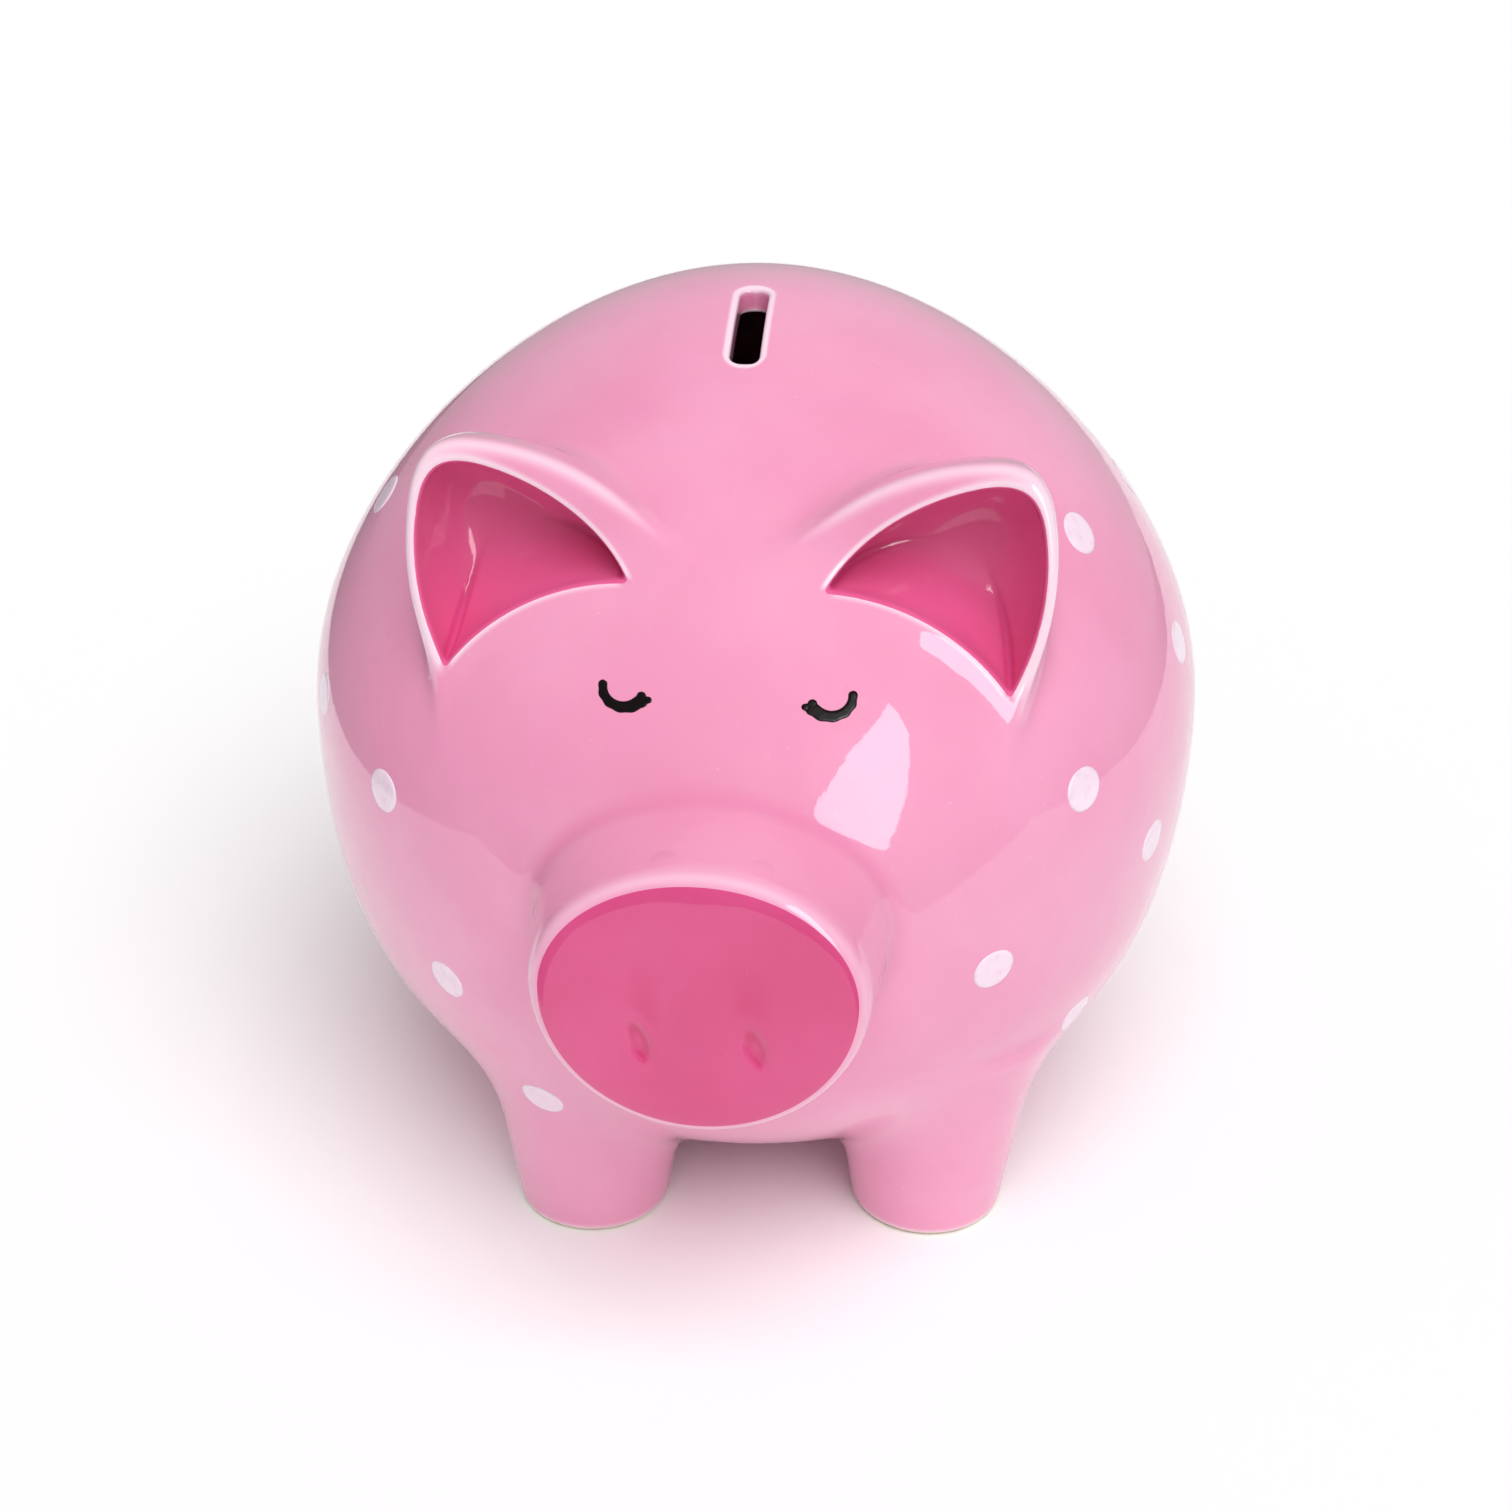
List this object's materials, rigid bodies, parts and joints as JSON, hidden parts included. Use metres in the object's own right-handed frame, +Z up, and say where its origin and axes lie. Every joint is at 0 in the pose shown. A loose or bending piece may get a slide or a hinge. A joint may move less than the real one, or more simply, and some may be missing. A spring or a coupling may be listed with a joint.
{
  "type": "figural animal coin bank",
  "caption": "Hollow glazed ceramic pig with a coin slot in its back, cupped ears, a flat oval snout, and a soft pull-out stopper under its belly.",
  "frame": {"origin": "on the floor, at the centre of the bounding box seen from above, which is the axis of the round body", "axes": "+Z up, the pig faces -Y, and its left side is +X"},
  "size_m": [0.2, 0.244, 0.202],
  "materials": {
    "pink_glaze": "gloss",
    "magenta_glaze": "gloss",
    "white_print": "gloss",
    "black_print": "gloss",
    "clear_pvc": "satin"
  },
  "bodies": {
    "bank": {"body_shell": "pink_glaze", "snout": "pink_glaze", "snout_disc": "magenta_glaze", "left_ear": "pink_glaze", "right_ear": "pink_glaze", "left_ear_lining": "magenta_glaze", "right_ear_lining": "magenta_glaze", "front_left_leg": "pink_glaze", "front_right_leg": "pink_glaze", "rear_left_leg": "pink_glaze", "rear_right_leg": "pink_glaze", "tail": "pink_glaze", "left_eye": "black_print", "right_eye": "black_print", "polka_dots": "white_print"},
    "stopper": {"stopper": "clear_pvc"}
  },
  "joints": [
    {"name": "stopper_pull", "type": "slide", "parent": "bank", "child": "stopper", "axis": [0, 0, -1], "range_m": [0, 0.022]}
  ]
}
